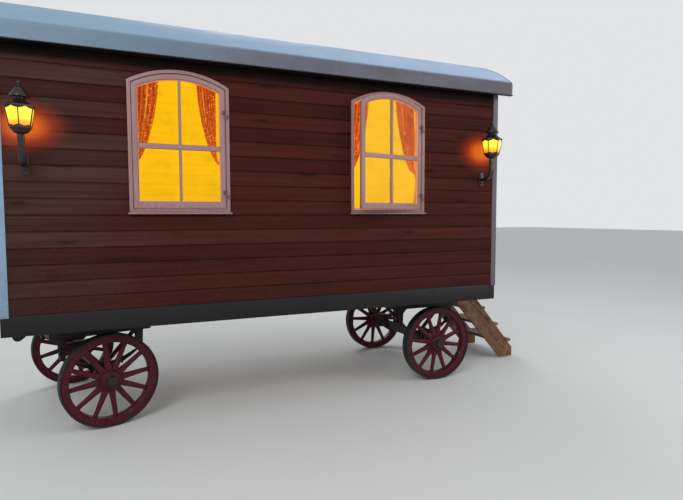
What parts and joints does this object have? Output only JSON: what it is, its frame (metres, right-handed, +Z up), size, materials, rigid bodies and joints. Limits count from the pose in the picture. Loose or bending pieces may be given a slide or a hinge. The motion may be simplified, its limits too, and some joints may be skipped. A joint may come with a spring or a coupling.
{
  "type": "shepherd hut",
  "caption": "Boarded living hut under a white barrel roof, on a steel frame with spoked wagon wheels and a steering front axle.",
  "frame": {"origin": "on the ground below the centre of the whole box", "axes": "+X from the towed end to the door end, +Z up, the near wall with two windows faces -Y"},
  "size_m": [5.515, 2.638, 3.5748],
  "materials": {
    "roof_white": "satin painted sheet",
    "boards": "red-brown stained boards",
    "white_paint": "white painted wood",
    "black_steel": "black paint",
    "maroon_wood": "maroon painted wood",
    "rubber": "dark grey band",
    "floor_wood": "planed boards",
    "glass": "clear",
    "curtain": "orange patterned cloth",
    "rod_brass": "dull brass",
    "lantern_black": "dark bronze paint",
    "lantern_amber": "lit amber panes",
    "step_wood": "weathered boards"
  },
  "bodies": {
    "hut": {"chassis_side_sills": "black_steel", "chassis_cross_members": "black_steel", "cabin_floor": "floor_wood", "wall_near": "boards", "wall_far": "boards", "wall_front": "boards", "wall_door_end": "boards", "corner_posts": "white_paint", "roof_shell": "roof_white", "roof_end_fascias": "white_paint", "roof_drip_edges": "black_steel", "window_frames": "white_paint", "curtains": "curtain", "curtain_rods": "rod_brass", "door_frame": "white_paint", "entrance_steps": "step_wood", "lantern_metal": "lantern_black", "lantern_glass": "lantern_amber", "turntable_upper_and_kingpin": "black_steel", "rear_axle_frame": "black_steel", "rear_leaf_springs": "black_steel", "rear_axle": "black_steel", "rear_spring_clamps": "black_steel", "rear_axle_stays": "maroon_wood"},
    "casement_near_front": {"casement_near_front": "white_paint", "casement_glass_near_front": "glass"},
    "casement_near_rear": {"casement_near_rear": "white_paint", "casement_glass_near_rear": "glass"},
    "casement_far_rear": {"casement_far_rear": "white_paint", "casement_glass_far_rear": "glass"},
    "door": {"door_leaf": "white_paint", "door_glass": "glass", "door_knob": "rod_brass"},
    "front_carriage": {"front_turntable_frame": "black_steel", "front_leaf_springs": "black_steel", "front_axle": "black_steel", "front_spring_clamps": "black_steel", "front_axle_stays": "maroon_wood", "drawbar_bracket": "black_steel"},
    "wheel_front_near": {"wheel_front_near": "maroon_wood", "tyre_front_near": "rubber"},
    "wheel_front_far": {"wheel_front_far": "maroon_wood", "tyre_front_far": "rubber"},
    "wheel_rear_near": {"wheel_rear_near": "maroon_wood", "tyre_rear_near": "rubber"},
    "wheel_rear_far": {"wheel_rear_far": "maroon_wood", "tyre_rear_far": "rubber"}
  },
  "joints": [
    {"name": "steering", "type": "hinge", "parent": "hut", "child": "front_carriage", "pos_m": [-2.1015, 0, 0.85], "axis": [0, 0, 1], "range_deg": [-74, 46]},
    {"name": "wheel_front_near_turn", "type": "hinge", "parent": "front_carriage", "child": "wheel_front_near", "pos_m": [-1.92006, -0.72772, 0.398], "axis": [-0.2419, 0.9703, 0], "continuous": true},
    {"name": "wheel_front_far_turn", "type": "hinge", "parent": "front_carriage", "child": "wheel_front_far", "pos_m": [-2.28294, 0.72772, 0.398], "axis": [-0.2419, 0.9703, 0], "continuous": true},
    {"name": "wheel_rear_near_turn", "type": "hinge", "parent": "hut", "child": "wheel_rear_near", "pos_m": [1.3665, -0.75, 0.398], "axis": [0, 1, 0], "continuous": true},
    {"name": "wheel_rear_far_turn", "type": "hinge", "parent": "hut", "child": "wheel_rear_far", "pos_m": [1.3665, 0.75, 0.398], "axis": [0, 1, 0], "continuous": true},
    {"name": "casement_near_front_swing", "type": "hinge", "parent": "hut", "child": "casement_near_front", "pos_m": [-0.9685, -1.07, 2.3], "axis": [0, 0, 1], "range_deg": [0, 75]},
    {"name": "casement_near_rear_swing", "type": "hinge", "parent": "hut", "child": "casement_near_rear", "pos_m": [0.9715, -1.07, 2.3], "axis": [0, 0, 1], "range_deg": [-11, 64]},
    {"name": "casement_far_rear_swing", "type": "hinge", "parent": "hut", "child": "casement_far_rear", "pos_m": [0.9715, 1.07, 2.3], "axis": [0, 0, -1], "range_deg": [0, 75]},
    {"name": "door_swing", "type": "hinge", "parent": "hut", "child": "door", "pos_m": [1.9205, 0.3765, 2], "axis": [0, 0, 1], "range_deg": [0, 100]}
  ]
}
